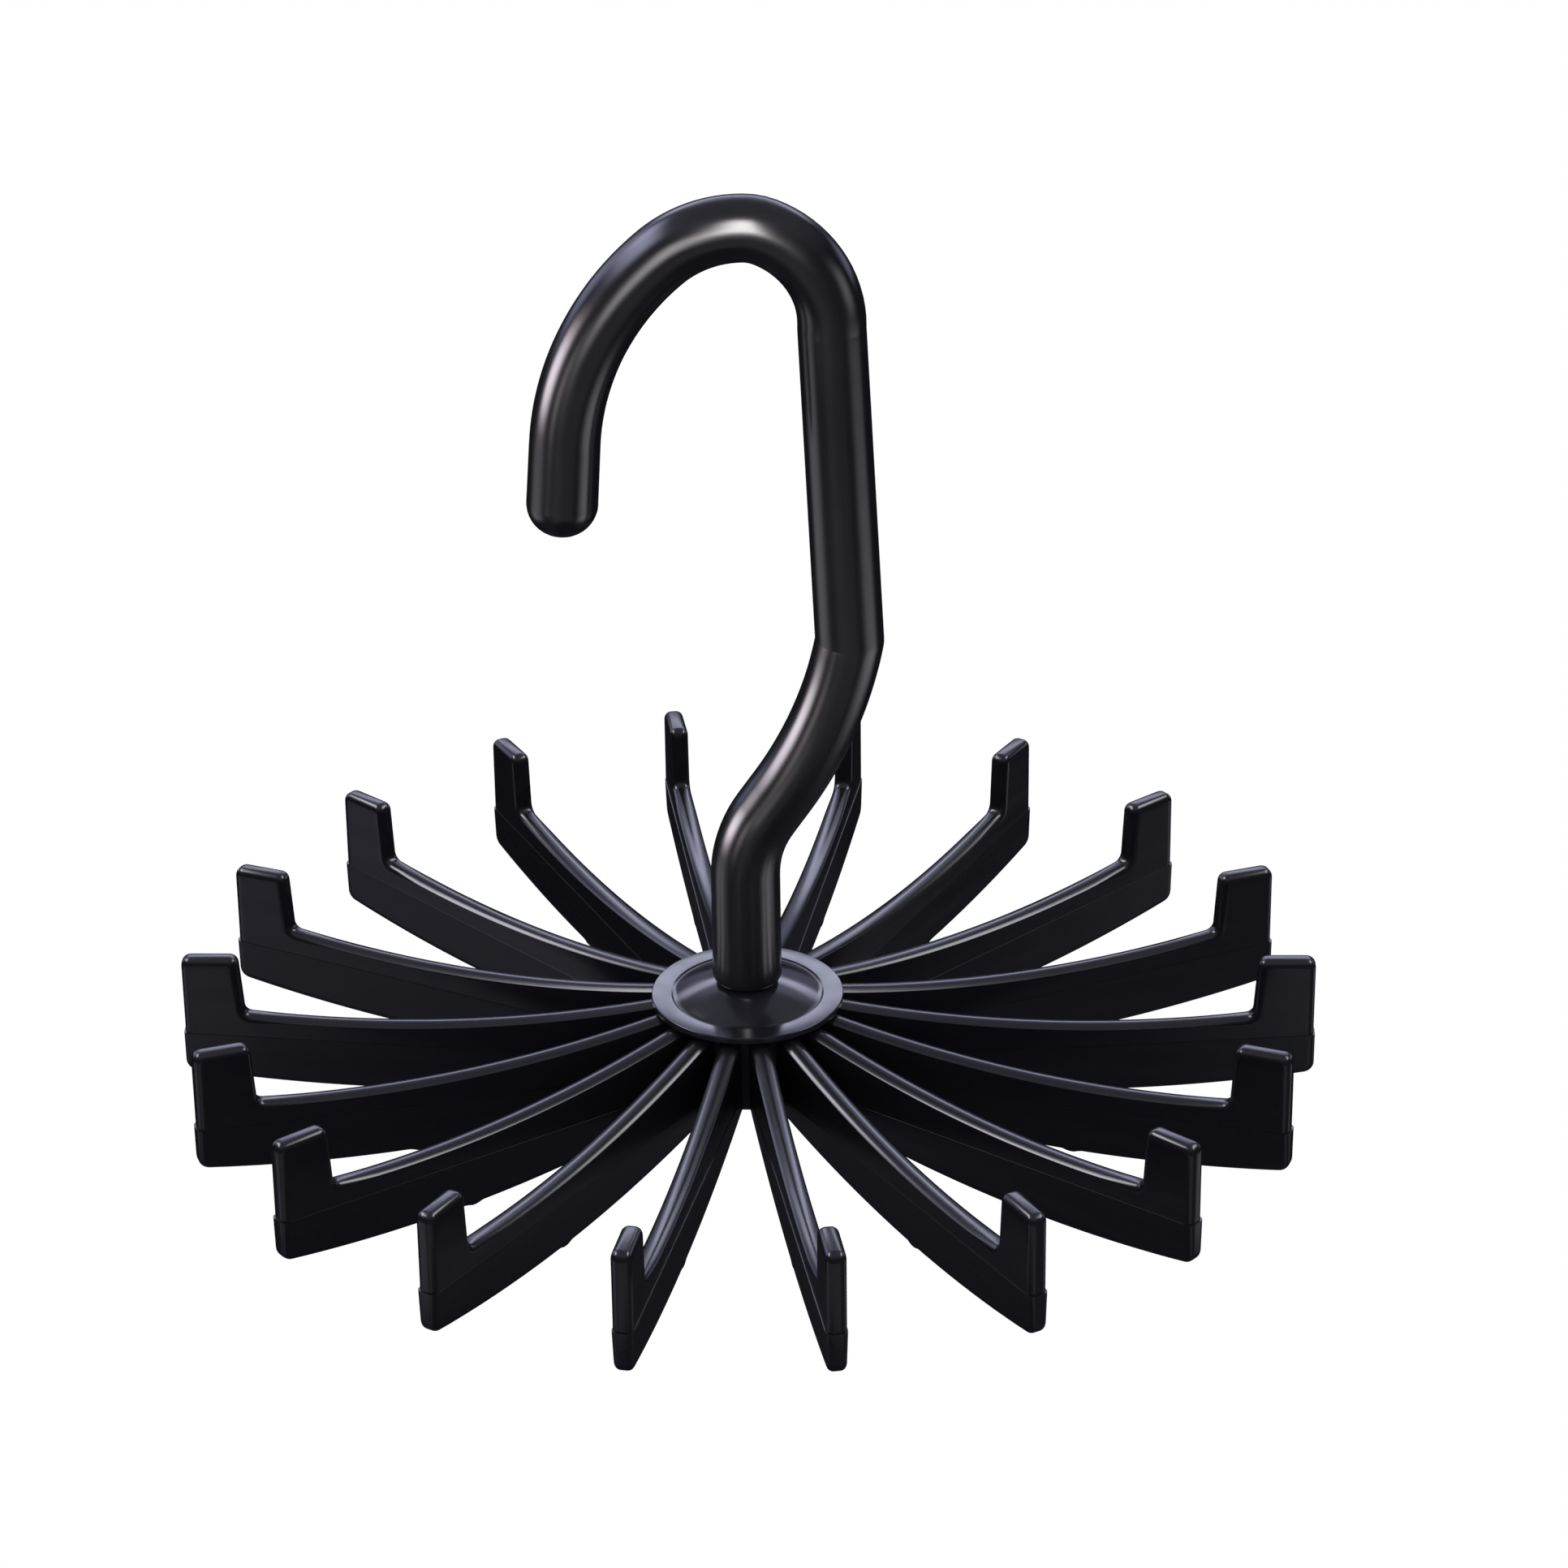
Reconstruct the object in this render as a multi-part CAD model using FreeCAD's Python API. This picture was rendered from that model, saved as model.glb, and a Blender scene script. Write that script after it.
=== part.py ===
import FreeCAD, Part
import math
import os

# Tie hanger: a moulded hook on a swivel carries a hub with a ring of radial arms, each with an upturned finger.
# Millimetres, +Z up. The spin axis is Z, and the origin is where it meets the inside of the hook's crown,
# the place where a wardrobe rail bears. The hook lies in the XZ plane.

# Hook rod, a little thicker at the free end
rod_radius = 4.4
tip_rod_radius = 4.55
foot_bevel = 0.8

# Hook centreline: radii and turns in degrees, both ways from the crown. The shank has a crease at each end,
# on its inner side, where the bend is hardly wider than the rod.
crown_offset = 1.0
arch_radius = 15.8
arch_turn = 41.0
limb_radius = 37.0
limb_turn = 45.0
tip_length = 8.2
shoulder_radius = 7.3
shoulder_turn = 22.0
bend_radius = 13.2
bend_turn = 69.0
rod_crease = 0.8
shank_length = 42.7
shank_lean = 2.6
crank_start = 11.0
crank_lean = 34.2
crank_radius = 58.0
stem_bend = 16.2
stem_length = 15.6

# Swivel: a spindle below the stem runs in the hub's bore, held by a washer and a screw
spindle_radius = 2.8
spindle_clearance = 0.05
axial_play = 0.15
washer_overlap = 2.6
washer_thickness = 0.8
washer_hole_clearance = 0.15
screw_radius = 1.45
screw_length = 9.0
screw_head_radius = 2.8
screw_head_height = 1.9
screw_head_bevel = 0.6
screw_fit = 0.05
screw_end_room = 1.0
drive_slot_width = 0.9
drive_slot_length = 3.4
drive_slot_depth = 1.0
counterbore_clearance = 0.8
counterbore_edge = 0.4

# Hub: a rimmed disc that swells to a dome under the stem, over a barrel with a flat for each arm to stand out from
arm_count = 18
arm_gap_at_hub = 0.8
barrel_height = 11.5
barrel_bevel = 0.6
disc_overhang = 2.3
disc_edge = 0.9
rim_width = 2.6
dish_depth = 0.6
dish_draft = 0.3
dome_rise = 1.95
dome_bulge = 0.35

# Arm: seen from the side, with heights below the disc's underside
tip_radius = 75.5
arm_thickness = 2.7
belly_draft = 2.0
arm_root_drop = 0.1
arm_root_height = 11.6
top_sag = 2.4
belly_sag = 2.6
notch_drop = 2.3
notch_rounding = 1.1
finger_height = 8.5
finger_width = 7.55
finger_base_width = 8.15
finger_rounding = 1.2
tip_drop = 10.75
tip_rounding = 1.6
parting_drop_at_tip = 5.0
parting_drop_at_hub = 9.0
parting_end_ledge = 0.25
parting_side_ledge = 0.1

crease_bend = rod_radius + rod_crease
arm_pitch = 360.0 / arm_count
arm_girth = arm_thickness + 2 * parting_side_ledge
barrel_radius = (arm_girth + arm_gap_at_hub) / (2 * math.tan(math.radians(arm_pitch / 2)))
disc_radius = barrel_radius + disc_overhang
washer_radius = spindle_radius + washer_overlap
counterbore_radius = washer_radius + counterbore_clearance
counterbore_depth = axial_play + washer_thickness + screw_head_height + counterbore_edge
vertical = FreeCAD.Vector(0, 0, 1)
same_place = 1e-3


def point(x, z, y=0.0):
    return FreeCAD.Vector(x, y, z)


def follow(start, heading, steps):
    """Edges of a flat route: (radius, turn) for an arc, left turns positive, or (length,) for a straight run."""
    edges = []
    here = start
    for step in steps:
        along = math.radians(heading)
        if len(step) == 1:
            there = here + point(math.cos(along), math.sin(along)) * step[0]
            edges.append(Part.LineSegment(here, there).toShape())
        else:
            radius, turn = step
            side = math.copysign(1.0, turn)
            centre = here + point(-math.sin(along), math.cos(along)) * (radius * side)
            stops = []
            for share in (0.5, 1.0):
                swung = along + math.radians(turn * share)
                stops.append(centre + point(math.sin(swung), -math.cos(swung)) * (radius * side))
            there = stops[1]
            edges.append(Part.Arc(here, stops[0], there).toShape())
            heading += turn
        here = there
    return edges, here, heading


def hook_route():
    """Edges of the rod's centreline from the end of the arch to the foot, the arch's end, its heading and the foot."""
    crown = point(crown_offset, rod_radius)
    steps = [(arch_radius, arch_turn), (limb_radius, limb_turn)]
    arch_edges, arch_end, arch_heading = follow(crown, 180.0, steps)

    shank_heading = shank_lean - 90.0
    steps = [
        (shoulder_radius, -shoulder_turn),
        (bend_radius, -bend_turn),
        (crease_bend, shank_heading + shoulder_turn + bend_turn),
        (shank_length,),
        (crease_bend, -90.0 - crank_start - shank_heading),
        (crank_radius, crank_start - crank_lean),
    ]
    shank_edges, crank_end, heading = follow(crown, 0.0, steps)

    # The straight part of the crank is as long as it takes to come out on the spin axis.
    lean = math.radians(crank_lean)
    crank_length = (crank_end.x - stem_bend * (1 - math.cos(lean))) / math.sin(lean)
    steps = [(crank_length,), (stem_bend, crank_lean), (stem_length,)]
    stem_edges, foot, heading = follow(crank_end, heading, steps)
    return arch_edges + shank_edges + stem_edges, arch_end, arch_heading, foot


rod_edges, arch_end, arch_heading, foot = hook_route()
foot_z = foot.z
dome_top_z = foot_z - axial_play
rim_top_z = dome_top_z - dome_rise
under_z = rim_top_z - disc_edge
barrel_bottom_z = under_z - barrel_height
counterbore_floor_z = barrel_bottom_z + counterbore_depth
spindle_end_z = counterbore_floor_z - axial_play
washer_bottom_z = spindle_end_z - washer_thickness


def revolve(corners):
    """Solid of revolution about the spin axis from its (radius, z) corners."""
    outline = [point(radius, z) for radius, z in corners]
    face = Part.Face(Part.makePolygon(outline + outline[:1]))
    return face.revolve(FreeCAD.Vector(), vertical, 360)


def make_hook():
    disc = Part.Face(Part.Wire(Part.makeCircle(rod_radius, foot, vertical)))
    rod = Part.Wire(Part.__sortEdges__(rod_edges)).makePipe(disc)
    foot_rim = [edge for edge in rod.Edges if abs(edge.CenterOfMass.z - foot_z) < same_place]
    rod = rod.makeChamfer(foot_bevel, foot_rim)
    heading = math.radians(arch_heading)
    outward = point(math.cos(heading), math.sin(heading))
    limb = Part.makeCone(rod_radius, tip_rod_radius, tip_length, arch_end, outward)
    cap = Part.makeSphere(tip_rod_radius, arch_end + outward * tip_length, outward, 0, 90, 360)
    spindle = Part.makeCylinder(spindle_radius, foot_z - spindle_end_z, point(0, spindle_end_z))
    pilot_depth = screw_length - washer_thickness + screw_end_room
    pilot = Part.makeCylinder(screw_radius + screw_fit, pilot_depth, point(0, spindle_end_z))
    return rod.fuse([limb, cap, spindle]).cut(pilot).removeSplitter()


def make_hub():
    bore = spindle_radius + spindle_clearance
    seat_radius = rod_radius - foot_bevel
    dish_radius = disc_radius - rim_width - dish_draft
    dish_z = rim_top_z - dish_depth
    disc = revolve([
        (0, dome_top_z),
        (seat_radius, dome_top_z),
        ((seat_radius + dish_radius) / 2, (dome_top_z + dish_z) / 2 + dome_bulge),
        (dish_radius, dish_z),
        (disc_radius - rim_width, rim_top_z),
        (disc_radius, rim_top_z),
        (disc_radius, under_z),
        (0, under_z),
    ])
    hollow = revolve([
        (0, dome_top_z),
        (bore, dome_top_z),
        (bore, counterbore_floor_z),
        (counterbore_radius, counterbore_floor_z),
        (counterbore_radius, barrel_bottom_z),
        (0, barrel_bottom_z),
    ])
    return disc.fuse(make_barrel()).cut(hollow).removeSplitter()


def make_barrel():
    """Prism with a flat for each arm, its lower edges bevelled."""
    corner = FreeCAD.Vector(barrel_radius, barrel_radius * math.tan(math.radians(arm_pitch / 2)), barrel_bottom_z)
    corners = [turned(corner, index) for index in range(arm_count)]
    barrel = Part.Face(Part.makePolygon(corners + corners[:1])).extrude(vertical * barrel_height)
    rim = [edge for edge in barrel.Edges if edge.BoundBox.ZMax < barrel_bottom_z + same_place]
    return barrel.makeChamfer(barrel_bevel, rim)


def arm_angle(index):
    """Direction of an arm, from +X; the arms stand either side of -Y."""
    return -90.0 + (index + 0.5) * arm_pitch


def turned(vector, index):
    return FreeCAD.Rotation(vertical, arm_angle(index)).multVec(vector)


def at_arm(shape, index):
    """Copy of a shape that was made along +X, turned to an arm's place."""
    placed = shape.copy()
    placed.rotate(FreeCAD.Vector(), vertical, arm_angle(index))
    return placed


def bowed(start, stop, sag):
    """Arc between two points that hangs below its chord."""
    middle = (start + stop) * 0.5 - vertical * sag
    return Part.Arc(start, middle, stop).toShape()


def straight(start, stop):
    return Part.LineSegment(start, stop).toShape()


def slab(edges, thickness):
    """Side outline of an arm, made solid to a thickness about the XZ plane."""
    face = Part.Face(Part.Wire(edges))
    face.translate(FreeCAD.Vector(0, -thickness / 2, 0))
    return face.extrude(FreeCAD.Vector(0, thickness, 0))


def round_corners(solid, corners):
    """Rounds the cross edges of a slab at the given (point, radius) corners."""
    for corner, radius in corners:
        edges = [edge for edge in solid.Edges if (edge.CenterOfMass - corner).Length < same_place]
        solid = solid.makeFillet(radius, edges)
    return solid


def upper_arm(hub_end, tip_end):
    """Beam and finger above the parting line."""
    root = point(barrel_radius, under_z - arm_root_drop)
    notch = point(tip_radius - finger_base_width, under_z - notch_drop)
    finger_inside = point(tip_radius - finger_width, notch.z + finger_height)
    finger_outside = point(tip_radius, finger_inside.z)
    upper = slab([
        straight(hub_end, root),
        bowed(root, notch, top_sag),
        straight(notch, finger_inside),
        straight(finger_inside, finger_outside),
        straight(finger_outside, tip_end),
        straight(tip_end, hub_end),
    ], arm_thickness)
    return round_corners(upper, [
        (notch, notch_rounding),
        (finger_inside, finger_rounding),
        (finger_outside, finger_rounding),
    ])


def lower_arm(hub_end, tip_end):
    """Belly of the arm below the parting line, drafted towards its lower edge."""
    root = point(barrel_radius, under_z - arm_root_drop - arm_root_height)
    heel = point(tip_end.x, under_z - tip_drop)
    belly = slab([
        straight(hub_end, tip_end),
        straight(tip_end, heel),
        bowed(root, heel, belly_sag),
        straight(root, hub_end),
    ], arm_girth)
    belly = round_corners(belly, [(heel, tip_rounding)])
    depth = arm_root_height
    half = arm_girth / 2
    narrow = half - depth * math.tan(math.radians(belly_draft))
    section = Part.makePolygon([
        point(hub_end.x, hub_end.z, -half),
        point(hub_end.x, hub_end.z, half),
        point(hub_end.x, hub_end.z - depth, narrow),
        point(hub_end.x, hub_end.z - depth, -narrow),
        point(hub_end.x, hub_end.z, -half),
    ])
    return belly.common(Part.Face(section).extrude(tip_end - hub_end))


def make_arm():
    hub_end = point(barrel_radius, under_z - parting_drop_at_hub)
    tip_end = point(tip_radius, under_z - parting_drop_at_tip)
    ledge_end = tip_end + (tip_end - hub_end) * (parting_end_ledge / (tip_radius - barrel_radius))
    upper = upper_arm(hub_end, tip_end)
    lower = lower_arm(hub_end, ledge_end)
    return upper.fuse(lower).removeSplitter()


def make_washer():
    hole = screw_radius + washer_hole_clearance
    return revolve([
        (hole, spindle_end_z),
        (washer_radius, spindle_end_z),
        (washer_radius, washer_bottom_z),
        (hole, washer_bottom_z),
    ])


def make_screw():
    head_bottom_z = washer_bottom_z - screw_head_height
    screw = revolve([
        (0, washer_bottom_z + screw_length),
        (screw_radius, washer_bottom_z + screw_length),
        (screw_radius, washer_bottom_z),
        (screw_head_radius, washer_bottom_z),
        (screw_head_radius, head_bottom_z + screw_head_bevel),
        (screw_head_radius - screw_head_bevel, head_bottom_z),
        (0, head_bottom_z),
    ])
    slots = []
    for turn in (0, 90):
        slot = Part.makeBox(drive_slot_length, drive_slot_width, drive_slot_depth)
        slot.translate(FreeCAD.Vector(-drive_slot_length / 2, -drive_slot_width / 2, head_bottom_z))
        slot.rotate(FreeCAD.Vector(), vertical, turn)
        slots.append(slot)
    return screw.cut(slots)


def export(shape, node):
    shape.exportStep("parts/" + node + ".step")


os.makedirs("parts", exist_ok=True)
export(make_hook(), "hook")
export(make_hub(), "hub")
export(make_washer(), "swivel_washer")
export(make_screw(), "swivel_screw")
arm = make_arm()
for index in range(arm_count):
    export(at_arm(arm, index), "arm_%02d" % (index + 1))
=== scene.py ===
import logging
import math
from collections.abc import Callable
from dataclasses import dataclass
from enum import Enum

import bmesh
import bpy
from mathutils import Matrix, Vector


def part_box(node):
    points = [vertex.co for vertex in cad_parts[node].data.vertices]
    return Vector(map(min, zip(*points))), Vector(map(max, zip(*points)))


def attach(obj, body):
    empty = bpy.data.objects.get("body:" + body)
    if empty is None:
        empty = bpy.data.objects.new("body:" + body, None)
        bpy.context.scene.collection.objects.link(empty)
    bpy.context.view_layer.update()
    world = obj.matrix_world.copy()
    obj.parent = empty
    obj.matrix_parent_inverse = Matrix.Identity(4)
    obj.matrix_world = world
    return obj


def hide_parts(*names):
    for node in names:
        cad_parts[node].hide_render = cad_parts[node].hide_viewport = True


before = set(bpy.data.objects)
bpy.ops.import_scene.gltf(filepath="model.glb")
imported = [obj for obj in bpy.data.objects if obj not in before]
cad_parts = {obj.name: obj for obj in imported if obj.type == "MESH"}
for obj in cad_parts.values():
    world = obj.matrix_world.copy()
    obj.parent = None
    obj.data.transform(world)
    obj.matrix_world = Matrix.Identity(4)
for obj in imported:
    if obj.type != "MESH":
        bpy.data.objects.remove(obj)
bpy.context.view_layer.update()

# Looks of a rotating tie hanger: a moulded hook, a hub with a rimmed disc, a ring of arms with upturned
# fingers, and the washer and screw of the swivel. Their sizes are in millimetres, and turn to metres where
# a mesh is made. The studio's are in metres.

MM = 0.001
MERGE_GAP = 1e-4
CREASE_ANGLE = 40.0
# Nearly all the values of a noise lie in this span.
NOISE_SPAN = (0.3, 0.7)
IMAGE_SIDE = 1932
log = logging.getLogger("tie_hanger")


class Body(Enum):
    """The two bodies that the swivel joins."""

    HOOK = "hook"
    SPIDER = "spider"


class Reach(Enum):
    """Which pieces a lamp's light falls on: a snoot or a flag keeps it off the others."""

    ALL = "all"
    HOOK = "hook"
    SPIDER = "spider"
    SWIVEL = "swivel"


class Slot(Enum):
    """The record's material slots."""

    HOOK = "hook_plastic"
    SPIDER = "spider_plastic"
    SWIVEL = "swivel_steel"


def linear(hex_colour: str) -> tuple[float, float, float, float]:
    """Turns an sRGB hex colour into the linear colour that shaders take.

    Args:
        hex_colour: six hex digits after a hash.

    Returns:
        Red, green, blue and an alpha of one.
    """
    channels = [int(hex_colour[i:i + 2], 16) / 255 for i in (1, 3, 5)]
    light = [c / 12.92 if c <= 0.04045 else ((c + 0.055) / 1.055) ** 2.4 for c in channels]
    return light[0], light[1], light[2], 1.0


def add_node(tree: bpy.types.NodeTree, kind: str, inputs: dict[str | int, object] | None = None,
             **settings: object) -> bpy.types.Node:
    """Adds a node to a shader or geometry tree.

    Args:
        tree: the tree that gets the node.
        kind: the node's type name.
        inputs: a value, or an output socket to link from, for each input's name or number.
        settings: the node's own properties.

    Returns:
        The node.
    """
    node = tree.nodes.new(kind)
    for name, value in settings.items():
        setattr(node, name, value)
    for key, value in (inputs or {}).items():
        if isinstance(value, bpy.types.NodeSocket):
            tree.links.new(value, node.inputs[key])
        else:
            node.inputs[key].default_value = value
    return node


def blank_material(name: str) -> tuple[bpy.types.Material, bpy.types.NodeTree]:
    """Makes a material with an empty node tree.

    Args:
        name: the material's name.

    Returns:
        The material and its tree.
    """
    material = bpy.data.materials.new(name)
    material.use_nodes = True
    material.node_tree.nodes.clear()
    return material, material.node_tree


@dataclass(frozen=True)
class Finish:
    """Two tones and two degrees of gloss that follow one pattern, on a slightly uneven surface."""

    name: str
    colour: str
    second_colour: str
    roughness: tuple[float, float]

    def dress(self, tree: bpy.types.NodeTree, pattern: bpy.types.Node, bumps: bpy.types.Node,
              depth: float, values: dict[str, float]) -> None:
        """Adds the shader.

        Args:
            tree: the material's tree.
            pattern: the noise that the tone and the gloss follow.
            bumps: the noise that the surface follows.
            depth: how uneven the surface is, in millimetres.
            values: the shader's values that are the same all over.
        """
        share = pattern.outputs["Fac"]
        tint = add_node(tree, "ShaderNodeMix", {
            "Factor": share, "A": linear(self.colour), "B": linear(self.second_colour)}, data_type="RGBA")
        gloss = add_node(tree, "ShaderNodeMapRange", {
            "Value": share, "From Min": NOISE_SPAN[0], "From Max": NOISE_SPAN[1],
            "To Min": self.roughness[0], "To Max": self.roughness[1]})
        bump = add_node(tree, "ShaderNodeBump", {
            "Height": bumps.outputs["Fac"], "Strength": 1.0, "Distance": depth * MM})
        shader = add_node(tree, "ShaderNodeBsdfPrincipled", {
            "Base Color": tint.outputs["Result"], "Roughness": gloss.outputs["Result"],
            "Normal": bump.outputs["Normal"], **values})
        add_node(tree, "ShaderNodeOutputMaterial", {"Surface": shader.outputs["BSDF"]})


@dataclass(frozen=True)
class MouldedPlastic(Finish):
    """Black ABS, injection moulded in a polished steel mould.

    The polish gives it sharp, bright reflections over a nearly black body, the flow of the melt leaves faint
    streaks in the gloss, and shrinkage makes the surface wave a little. On a piece that is made of copies, an
    attribute gives each point's place on its own copy, so that the streaks run along every one of them.
    """

    streak_size: tuple[float, float, float]
    wave_size: float = 5.0
    wave_depth: float = 0.02
    ior: float = 1.54
    place_attribute: str = ""

    def material(self) -> bpy.types.Material:
        """Builds the shader from the finish's values.

        Returns:
            The material.
        """
        material, tree = blank_material(self.name)
        if self.place_attribute:
            spot = add_node(tree, "ShaderNodeAttribute", attribute_name=self.place_attribute)
            place = spot.outputs["Vector"]
        else:
            place = add_node(tree, "ShaderNodeTexCoord").outputs["Object"]
        stretch = [1 / (size * MM) for size in self.streak_size]
        along = add_node(tree, "ShaderNodeMapping", {"Vector": place, "Scale": stretch})
        streaks = add_node(tree, "ShaderNodeTexNoise", {
            "Vector": along.outputs["Vector"], "Scale": 1.0, "Detail": 3.0, "Roughness": 0.55})
        waves = add_node(tree, "ShaderNodeTexNoise", {
            "Vector": place, "Scale": 1 / (self.wave_size * MM), "Detail": 1.0})
        self.dress(tree, streaks, waves, self.wave_depth, {"IOR": self.ior})
        return material


@dataclass(frozen=True)
class ZincSteel(Finish):
    """Steel, stamped or cold headed, with a bright zinc plating that looks cool grey and slightly cloudy.

    The grain of the plating is too fine to show, so it is drawn coarser.
    """

    cloud_size: float = 1.5
    grain_size: float = 0.25
    grain_depth: float = 0.01

    def material(self) -> bpy.types.Material:
        """Builds the shader from the finish's values.

        Returns:
            The material.
        """
        material, tree = blank_material(self.name)
        place = add_node(tree, "ShaderNodeTexCoord").outputs["Object"]
        clouds = add_node(tree, "ShaderNodeTexNoise", {
            "Vector": place, "Scale": 1 / (self.cloud_size * MM), "Detail": 4.0})
        grain = add_node(tree, "ShaderNodeTexNoise", {
            "Vector": place, "Scale": 1 / (self.grain_size * MM), "Detail": 2.0})
        self.dress(tree, clouds, grain, self.grain_depth, {"Metallic": 1.0})
        return material


@dataclass(frozen=True)
class Corner:
    """A corner of a flat outline, with the radius that rounds it."""

    x: float
    z: float
    radius: float = 0.0

    def point(self) -> Vector:
        """The corner as a flat vector."""
        return Vector((self.x, self.z))


def rounded(corners: list[Corner], steps: int = 6) -> list[Vector]:
    """Rounds the corners of an open outline.

    Args:
        corners: the outline's corners; the first and the last stay sharp.
        steps: how many facets a rounded corner gets.

    Returns:
        The outline's points.
    """
    points = [corners[0].point()]
    for before, corner, after in zip(corners, corners[1:], corners[2:]):
        here = corner.point()
        if corner.radius == 0:
            points.append(here)
            continue
        back = (before.point() - here).normalized()
        ahead = (after.point() - here).normalized()
        half = back.angle(ahead) / 2
        centre = here + (back + ahead).normalized() * (corner.radius / math.sin(half))
        spoke = here + back * (corner.radius / math.tan(half)) - centre
        turn = math.copysign(math.pi - 2 * half, back.cross(ahead))
        for step in range(steps + 1):
            points.append(centre + Matrix.Rotation(-turn * step / steps, 2) @ spoke)
    points.append(corners[-1].point())
    return points


def bowed(start: Vector, stop: Vector, sag: float, steps: int = 26) -> list[Vector]:
    """Points of an arc that hangs below its chord, or stands above it where the sag is negative.

    Args:
        start: first end.
        stop: second end.
        sag: how far the middle hangs.
        steps: how many straight runs stand for the arc.

    Returns:
        The points, both ends among them.
    """
    chord = stop - start
    span = chord.length
    radius = span * span / (8 * abs(sag)) + abs(sag) / 2
    points = []
    for step in range(steps + 1):
        across = (step / steps - 0.5) * span
        drop = math.sqrt(radius * radius - across * across) - (radius - abs(sag))
        points.append(start + chord * (step / steps) - Vector((0, math.copysign(drop, sag))))
    return points


def add_object(name: str, data: bpy.types.ID) -> bpy.types.Object:
    """Makes an object and puts it in the scene.

    Args:
        name: the object's name.
        data: its mesh, lamp or camera.

    Returns:
        The object.
    """
    made = bpy.data.objects.new(name, data)
    bpy.context.scene.collection.objects.link(made)
    return made


def mesh_object(name: str, mesh: bmesh.types.BMesh, material: bpy.types.Material) -> bpy.types.Object:
    """Makes an object of a mesh.

    Args:
        name: the object's name.
        mesh: the mesh, which is freed.
        material: its finish.

    Returns:
        The object, at the origin.
    """
    data = bpy.data.meshes.new(name)
    mesh.to_mesh(data)
    mesh.free()
    data.materials.append(material)
    return add_object(name, data)


def finish_mesh(name: str, mesh: bmesh.types.BMesh, material: bpy.types.Material) -> bpy.types.Object:
    """Closes a mesh, turns its faces outward, smooths all but its creases, and makes it an object.

    Args:
        name: the object's name.
        mesh: the mesh in millimetres, which is freed.
        material: its finish.

    Returns:
        The object, at the origin and in metres.
    """
    bmesh.ops.remove_doubles(mesh, verts=mesh.verts, dist=MERGE_GAP)
    bmesh.ops.recalc_face_normals(mesh, faces=mesh.faces)
    for face in mesh.faces:
        face.smooth = True
    for edge in mesh.edges:
        edge.smooth = edge.calc_face_angle(math.pi) < math.radians(CREASE_ANGLE)
    bmesh.ops.scale(mesh, vec=(MM, MM, MM), verts=mesh.verts)
    return mesh_object(name, mesh, material)


def lathe(profile: list[Vector], around: int, closed: bool = False,
          swell: Callable[[float, float, float], float] | None = None) -> bmesh.types.BMesh:
    """Turns a profile of (radius, height) points about the spin axis.

    Args:
        profile: the points, from one end of the section to the other.
        around: how many facets go round.
        closed: joins the last ring to the first, for a section that doesn't reach the axis.
        swell: gives the radius at a radius, a height and an angle, where it isn't even all round.

    Returns:
        The mesh in millimetres.
    """
    mesh = bmesh.new()
    rings = []
    for radius, height in profile:
        ring = []
        for step in range(around):
            angle = math.tau * step / around
            reach = swell(radius, height, angle) if swell else radius
            ring.append(mesh.verts.new((reach * math.cos(angle), reach * math.sin(angle), height)))
        rings.append(ring)
    pairs = list(zip(rings, rings[1:]))
    if closed:
        pairs.append((rings[-1], rings[0]))
    for low, high in pairs:
        for step in range(around):
            after = (step + 1) % around
            mesh.faces.new((low[step], low[after], high[after], high[step]))
    return mesh


def plain_copy(piece: bpy.types.Object) -> None:
    """Turns what an object's modifiers make into its own plain mesh, and removes them."""
    bpy.context.view_layer.update()
    ready = piece.evaluated_get(bpy.context.evaluated_depsgraph_get())
    made = bpy.data.meshes.new_from_object(ready)
    made.name = piece.name
    piece.modifiers.clear()
    piece.data = made


def node_group(name: str, inputs: list[tuple[str, str]]) -> tuple[bpy.types.NodeTree, bpy.types.Node]:
    """Starts a geometry tree with a Geometry input and output.

    Args:
        name: the tree's name.
        inputs: name and socket type of each further input.

    Returns:
        The tree and its input node.
    """
    tree = bpy.data.node_groups.new(name, "GeometryNodeTree")
    tree.interface.new_socket("Geometry", in_out="INPUT", socket_type="NodeSocketGeometry")
    tree.interface.new_socket("Geometry", in_out="OUTPUT", socket_type="NodeSocketGeometry")
    for label, kind in inputs:
        tree.interface.new_socket(label, in_out="INPUT", socket_type=kind)
    return tree, add_node(tree, "NodeGroupInput")


def run_group(piece: bpy.types.Object, tree: bpy.types.NodeTree, values: dict[str, object]) -> None:
    """Runs a geometry tree on an object and keeps the result as its plain mesh.

    Args:
        piece: the object.
        tree: the tree.
        values: a value for each of the tree's named inputs.
    """
    modifier = piece.modifiers.new(tree.name, "NODES")
    modifier.node_group = tree
    for item in tree.interface.items_tree:
        if item.item_type == "SOCKET" and item.in_out == "INPUT" and item.name in values:
            modifier[item.identifier] = values[item.name]
    plain_copy(piece)


def seat(piece: bpy.types.Object, body: Body, slot: Slot, *nodes: str) -> None:
    """Puts a finished piece on its body in place of CAD nodes, and reports it.

    Args:
        piece: the piece.
        body: the body it moves with.
        slot: the record's slot for its finish; not used.
        nodes: the CAD nodes it stands for.
    """
    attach(piece, body.value)
    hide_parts(*nodes)
    log.info("%s: %d faces on %s", piece.name, len(piece.data.polygons), body.value)


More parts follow.
